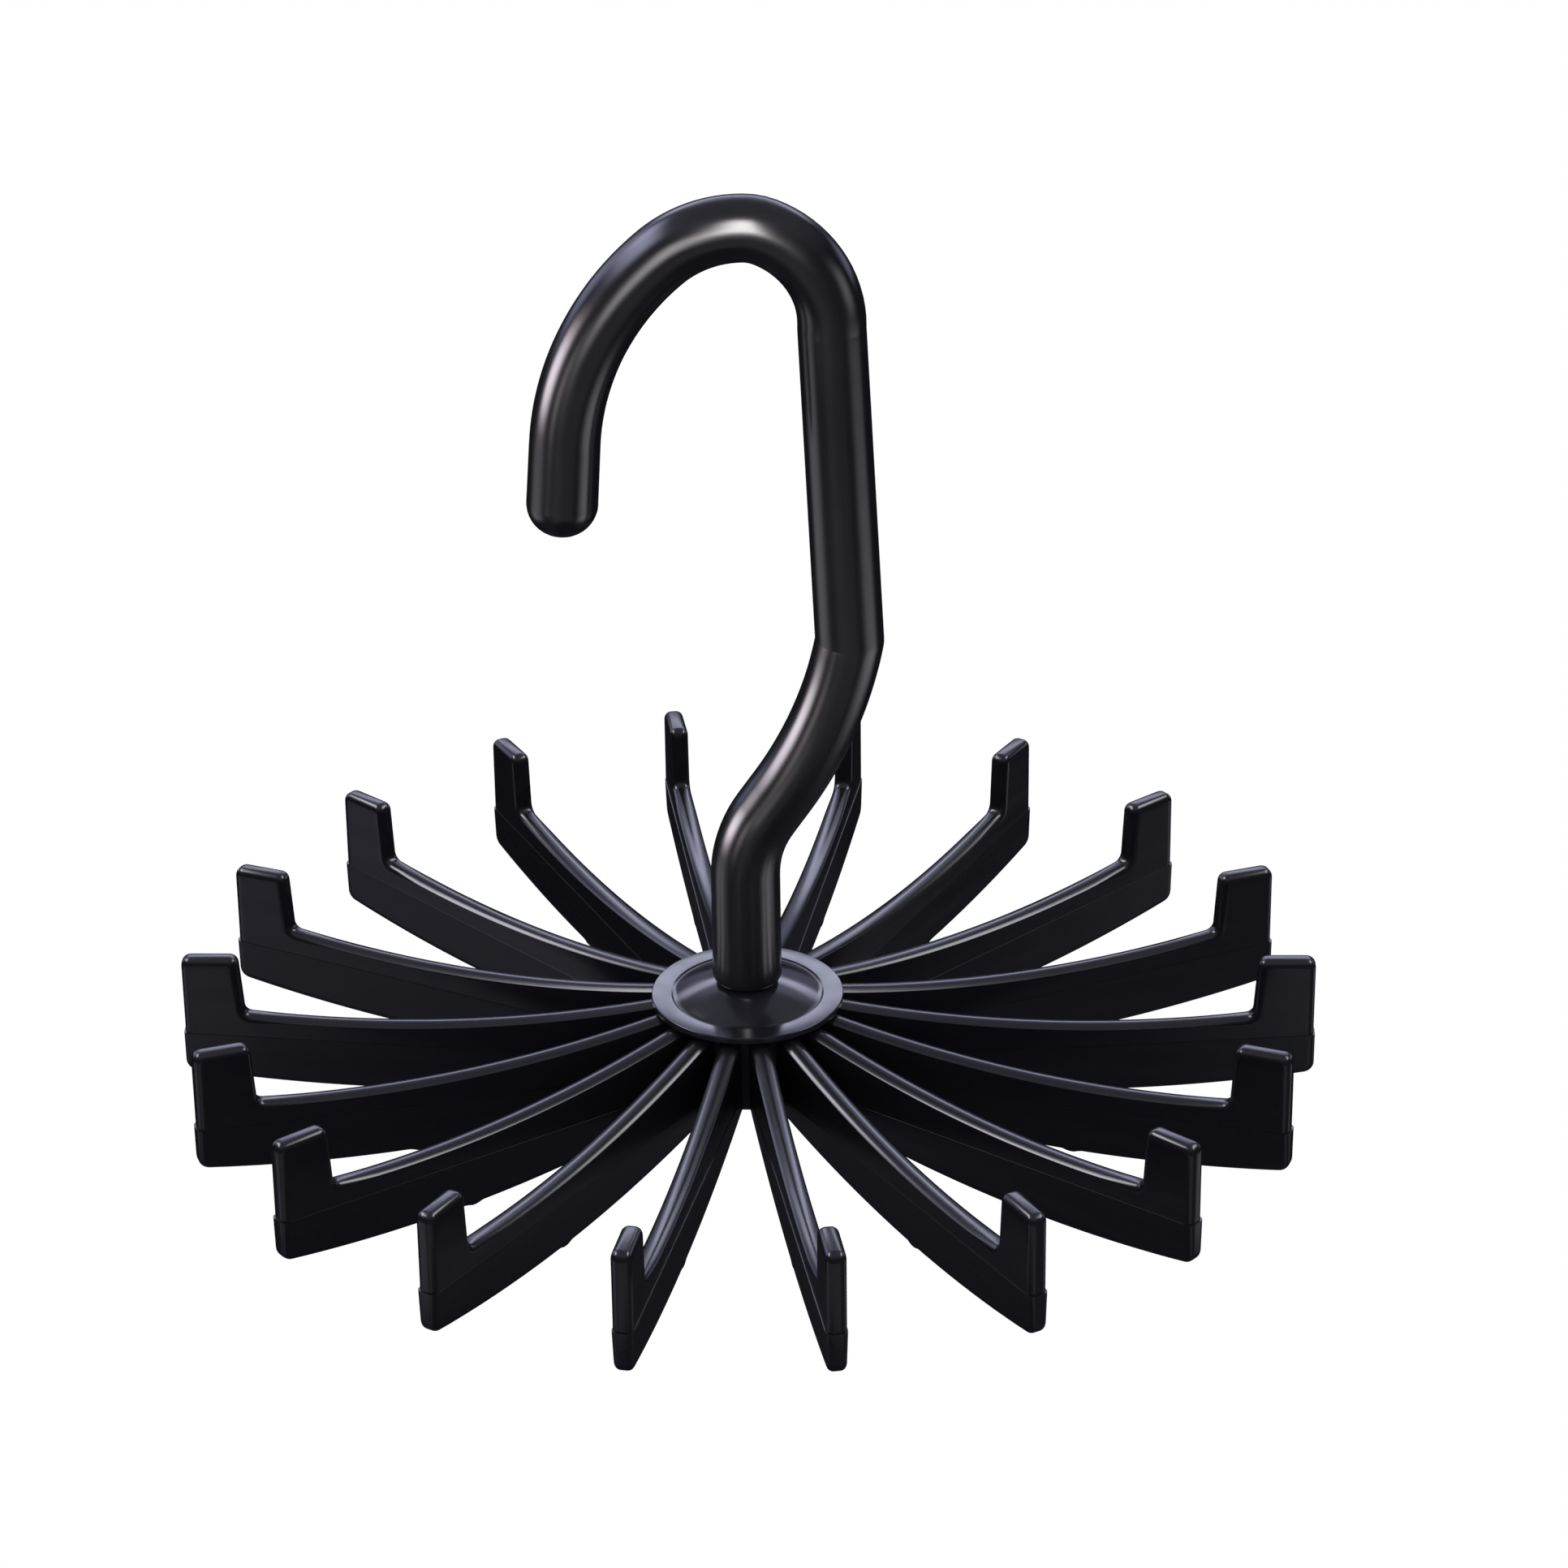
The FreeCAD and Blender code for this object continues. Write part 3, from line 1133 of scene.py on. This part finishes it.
@dataclass(frozen=True)
class BlackTent:
    """Black velvet hung all round the hanger but for a wide opening to the white paper behind it.

    Polished black plastic shows little but its surroundings, and the velvet keeps it black. A mat of it lies
    below the arms, where it paints shade into their sides' reflections. Only reflections see it. It gives off
    a
    dim glow, though it is no lamp: that glow is painted reflection, the faint sheens that the polish mirrors.
    """

    radius: float = 1.55
    opening_half: float = 34.0
    opening_top: float = 31.0
    opening_low: float = 22.0
    mat_half: tuple[float, float] = (0.1, 0.2)
    mat_drop: float = 0.125
    # Painted reflection: the tent's dim glow, brighter at the front and high up, lays faint sheens into what
    # the polish mirrors.
    painted_glows: tuple[PaintedGlow, PaintedGlow] = (PaintedGlow("Y", -0.6, 0.3, 0.07, 0.015), PaintedGlow("Z", 0.62, 1.16, 0.0, 0.38))
    # Painted sheen: the mat's dim glow lights the arms' sides in their reflections, brighter towards its left
    # and right ends.
    mat_painted_glows: tuple[PaintedGlow, PaintedGlow] = (PaintedGlow("X", -0.04, -0.1, 0.02, 0.1), PaintedGlow("X", 0.04, 0.1, 0.0, 0.08))
    # Tint of the painted glow.
    painted_glow_tint: str = "#e8e8ff"

    def build(self, middle: Vector) -> None:
        """Hangs the velvet and lays the mat.

        Args:
            middle: the tent's centre.
        """
        tent = bmesh.new()
        bmesh.ops.create_uvsphere(tent, u_segments=90, v_segments=60, radius=self.radius)
        gone = []
        for face in tent.faces:
            spot = face.calc_center_median()
            behind = math.degrees(math.atan2(abs(spot.x), spot.y)) < self.opening_half
            rise = math.degrees(math.asin(spot.z / spot.length))
            if behind and self.opening_low < rise < self.opening_top:
                gone.append(face)
        bmesh.ops.delete(tent, geom=gone, context="FACES")
        self.hang("tent", tent, middle, self.painted_glows)
        # The mat is a dark sheet that only reflections see: painted shade under the arms.
        mat = bmesh.new()
        bmesh.ops.create_circle(mat, cap_ends=True, segments=64, radius=1.0)
        bmesh.ops.scale(mat, vec=(*self.mat_half, 1.0), verts=mat.verts)
        self.hang("mat", mat, middle - Vector((0, 0, self.mat_drop)), self.mat_painted_glows)

    def hang(self, name: str, mesh: bmesh.types.BMesh, middle: Vector, painted_glows: tuple[PaintedGlow, PaintedGlow]) -> None:
        """Hangs a piece of velvet that only reflections see.

        Args:
            name: the piece's name.
            mesh: its shape.
            middle: its centre.
            painted_glows: its dim light, a painted glow that paints reflections.
        """
        piece = mesh_object(name, mesh, self.velvet("painted_glow_velvet_" + name, painted_glows))
        piece.location = middle
        piece.visible_camera = piece.visible_diffuse = False
        piece.visible_shadow = piece.visible_transmission = False

    def velvet(self, name: str, painted_glows: tuple[PaintedGlow, PaintedGlow]) -> bpy.types.Material:
        """Builds velvet with a painted glow, a dim emission that paints reflections and changes from place to
        place.

        Args:
            name: the material's name.
            painted_glows: the two parts of the painted glow.

        Returns:
            The material.
        """
        material, tree = blank_material(name)
        place = add_node(tree, "ShaderNodeTexCoord")
        axes = add_node(tree, "ShaderNodeSeparateXYZ", {"Vector": place.outputs["Object"]})
        parts = [add_node(tree, "ShaderNodeMapRange", {
            "Value": axes.outputs[glow.axis], "From Min": glow.start, "From Max": glow.stop,
            "To Min": glow.low, "To Max": glow.high}) for glow in painted_glows]
        both = add_node(tree, "ShaderNodeMath", {
            0: parts[0].outputs["Result"], 1: parts[1].outputs["Result"]}, operation="ADD")
        # Painted reflection: the velvet gives off a dim glow, though it is no lamp.
        cloth = add_node(tree, "ShaderNodeEmission", {
            "Color": linear(self.painted_glow_tint), "Strength": both.outputs[0]})
        add_node(tree, "ShaderNodeOutputMaterial", {"Surface": cloth.outputs["Emission"]})
        return material


@dataclass
class Studio:
    """A white sweep far below the hanger, soft lamps round it, and a camera at the photograph's angle."""

    floor_drop: float = 1.6
    floor_side: float = 16.0
    pool: tuple[float, float] = (0.25, 0.5)
    pool_white: float = 0.4
    ambient: float = 0.95
    middle_rise: float = 0.05
    aim: tuple[float, float, float] = (0.0, 0.0, -0.1053)
    aim_pixel: tuple[float, float] = (916.68, 1229.25)
    distance: float = 0.7145
    focal_pixels: float = 6589.5
    elevation: float = 29.42
    azimuth: float = 2.228
    roll: float = 0.992
    tent: BlackTent = BlackTent()
    lamps: tuple[Softbox, ...] = (
        Softbox("back_bank", 180.0, 16.0, 1.3, 1.7, 0.74, 0.45, "#d6daff", (0.3, 0.2)),
        Softbox("back_top", 180.0, 26.5, 1.3, 1.9, 0.34, 3.3, "#d6daff"),
        Softbox("back_high", 180.0, 39.0, 1.3, 1.7, 0.36, 1.0, "#d6daff", (0.3, 0.4)),
        Softbox("left_wing", -128.0, 15.0, 1.3, 1.1, 0.8, 1.7, "#d6daff"),
        Softbox("right_wing", 128.0, 9.0, 1.3, 1.0, 0.5, 1.2, "#d6daff"),
        Softbox("front_strip", 0.0, 28.0, 1.2, 0.5, 1.2, 32.0, "#fffafa", (0.5, 0.3), Reach.HOOK),
        Softbox("front_fill", -19.0, 6.0, 1.3, 0.9, 1.0, 7.0, "#fffaff", (0.5, 0.4), Reach.HOOK),
        Softbox("left_front", -46.0, -8.0, 1.2, 0.5, 0.5, 3.6, "#fff4f8", (0.5, 0.5), Reach.HOOK),
        Softbox("left_box", -100.0, 46.0, 1.2, 1.0, 0.5, 11.0, "#f8f4ff", (0.2, 0.3), Reach.SPIDER),
        Softbox("right_box", 100.0, 46.0, 1.2, 1.0, 0.5, 8.0, "#f8f8ff", (0.2, 0.3), Reach.SPIDER),
        Softbox("left_high", -96.0, 37.0, 1.2, 1.9, 0.6, 7.0, "#dcdcff", (0.35, 0.4), Reach.HOOK),
        Softbox("left_low", -86.0, 0.0, 1.2, 1.0, 0.6, 16.0, "#fff4ff", (0.4, 0.4), Reach.HOOK),
        Softbox("right_wall", 76.0, 4.0, 1.3, 1.1, 0.9, 1.7, "#fffaff", (0.5, 0.4), Reach.HOOK),
        Softbox("front_card", 0.0, -34.0, 1.3, 2.2, 0.8, 0.25, "#f0f2ff"),
        Softbox("left_card", -90.0, -28.0, 1.3, 1.4, 0.7, 1.2, "#f6f6ff", (0.4, 0.4), Reach.HOOK),
        Softbox("right_card", 80.0, -32.0, 1.3, 1.4, 0.9, 1.9, "#f6f6ff", (0.4, 0.4), Reach.HOOK),
        Softbox("left_table", -70.0, -27.0, 1.3, 1.6, 0.6, 0.45, "#e8e8ff", (0.4, 0.4), Reach.SPIDER),
        Softbox("right_table", 102.0, -27.0, 1.3, 0.8, 0.6, 0.6, "#f0f0ff", (0.4, 0.4), Reach.SPIDER),
        Softbox("under_card", 0.0, -90.0, 0.118, 0.4, 0.4, 1.2, reach=Reach.SWIVEL),
    )

    def white_where_seen(self, tree: bpy.types.NodeTree) -> bpy.types.NodeSocket:
        """Finds whether a ray comes from the camera, a reflection or a clear body.

        Args:
            tree: the tree that asks.

        Returns:
            A socket that is one on such rays.
        """
        path = add_node(tree, "ShaderNodeLightPath")
        seen = add_node(tree, "ShaderNodeMath", {
            0: path.outputs["Is Camera Ray"], 1: path.outputs["Is Glossy Ray"]}, operation="MAXIMUM")
        return add_node(tree, "ShaderNodeMath", {
            0: seen.outputs[0], 1: path.outputs["Is Transmission Ray"]}, operation="MAXIMUM").outputs[0]

    def floor(self) -> None:
        """Lays the floor: matt white paper, plain white to the eye beyond the pool where the shadow falls."""
        material, tree = blank_material("white_paper_sweep")
        place = add_node(tree, "ShaderNodeTexCoord").outputs["Object"]
        flat = add_node(tree, "ShaderNodeVectorMath", {0: place, 1: (1.0, 1.0, 0.0)}, operation="MULTIPLY")
        reach = add_node(tree, "ShaderNodeVectorMath", {0: flat.outputs["Vector"]}, operation="LENGTH")
        fade = add_node(tree, "ShaderNodeMapRange", {
            "Value": reach.outputs["Value"], "From Min": self.pool[0], "From Max": self.pool[1],
            "To Min": self.pool_white, "To Max": 1.0})
        seen = add_node(tree, "ShaderNodeMath", {
            0: fade.outputs["Result"], 1: self.white_where_seen(tree)}, operation="MULTIPLY")
        paper = add_node(tree, "ShaderNodeBsdfDiffuse", {"Color": linear("#e6e6e6")})
        white = add_node(tree, "ShaderNodeEmission", {"Color": linear("#ffffff"), "Strength": 1.0})
        mixed = add_node(tree, "ShaderNodeMixShader", {
            0: seen.outputs[0], 1: paper.outputs["BSDF"], 2: white.outputs["Emission"]})
        add_node(tree, "ShaderNodeOutputMaterial", {"Surface": mixed.outputs["Shader"]})
        mesh = bmesh.new()
        bmesh.ops.create_grid(mesh, x_segments=8, y_segments=8, size=self.floor_side / 2)
        bmesh.ops.translate(mesh, vec=(0, 0, self.aim[2] - self.floor_drop), verts=mesh.verts)
        piece = mesh_object("floor", mesh, material)

    def world(self) -> None:
        """Sets a white background that lights the object softly."""
        world = bpy.data.worlds.new("white_studio")
        world.use_nodes = True
        tree = world.node_tree
        tree.nodes.clear()
        strength = add_node(tree, "ShaderNodeMapRange", {
            "Value": self.white_where_seen(tree), "To Min": self.ambient, "To Max": 1.0})
        sky = add_node(tree, "ShaderNodeBackground", {
            "Color": linear("#ffffff"), "Strength": strength.outputs["Result"]})
        add_node(tree, "ShaderNodeOutputWorld", {"Surface": sky.outputs["Background"]})
        bpy.context.scene.world = world

    def camera(self) -> None:
        """Sets up the camera so that the aim falls on its pixel of the square image."""
        rise, around = math.radians(self.elevation), math.radians(self.azimuth)
        back = Matrix.Rotation(around, 3, "Z") @ Vector((0, -math.cos(rise), math.sin(rise)))
        ahead = -back
        right = ahead.cross(Vector((0, 0, 1))).normalized()
        up = right.cross(ahead)
        yaw = math.atan((self.aim_pixel[0] - IMAGE_SIDE / 2) / self.focal_pixels)
        pitch = math.atan((self.aim_pixel[1] - IMAGE_SIDE / 2) / self.focal_pixels * math.cos(yaw))
        swing = Matrix.Rotation(yaw, 3, up)
        ahead, right = swing @ ahead, swing @ right
        tilt = Matrix.Rotation(pitch, 3, right)
        ahead, up = tilt @ ahead, tilt @ up
        lean = Matrix.Rotation(math.radians(self.roll), 3, ahead)
        right, up = lean @ right, lean @ up
        data = bpy.data.cameras.new("camera")
        data.sensor_fit = "HORIZONTAL"
        data.sensor_width = 36.0
        data.lens = data.sensor_width * self.focal_pixels / IMAGE_SIDE
        data.clip_start, data.clip_end = 0.01, 100.0
        camera = add_object("camera", data)
        turned = Matrix((right, up, -ahead)).transposed().to_4x4()
        camera.matrix_world = Matrix.Translation(Vector(self.aim) + back * self.distance) @ turned
        bpy.context.scene.camera = camera

    def build(self, pieces: dict[Reach, list[bpy.types.Object]]) -> None:
        """Builds the whole studio.

        Args:
            pieces: the hanger's pieces for each narrower reach of a lamp.
        """
        self.floor()
        self.world()
        middle = Vector(self.aim) + Vector((0, 0, self.middle_rise))
        self.tent.build(middle)
        for lamp in self.lamps:
            lamp.build(middle, pieces)
        self.camera()
        bpy.context.scene.view_settings.view_transform = "Standard"


def main() -> None:
    """Builds the hanger and its studio."""
    logging.basicConfig(level=logging.INFO, format="%(name)s %(message)s")
    hook_plastic = MouldedPlastic(
        "hook_abs_polished", "#0d0d11", "#121217", (0.2, 0.25), (6.0, 6.0, 14.0))
    # The hub's colours are black ABS painted lighter than the arms' same plastic: a painted sheen standing in
    # for the light its disc mirrors.
    hub_plastic_painted_sheen = MouldedPlastic(
        "hub_abs_painted_sheen", "#15151c", "#1a1a22", (0.13, 0.2), (3.0, 3.0, 3.0), wave_depth=0.006)
    arm_plastic = MouldedPlastic(
        "arm_abs_polished", "#0d0d13", "#121219", (0.18, 0.26), (24.0, 3.0, 1.4), place_attribute="arm_place")
    zinc = ZincSteel("screw_steel_zinc_plated", "#b9bcc0", "#9da2a8", (0.22, 0.38))
    hook = Hook().build(hook_plastic)
    spider = [Hub().build(hub_plastic_painted_sheen), ArmRing().build(arm_plastic)]
    swivel = Swivel().build(zinc)
    Studio().build({Reach.HOOK: [hook], Reach.SPIDER: spider, Reach.SWIVEL: swivel})


if __name__ == "__main__":
    main()
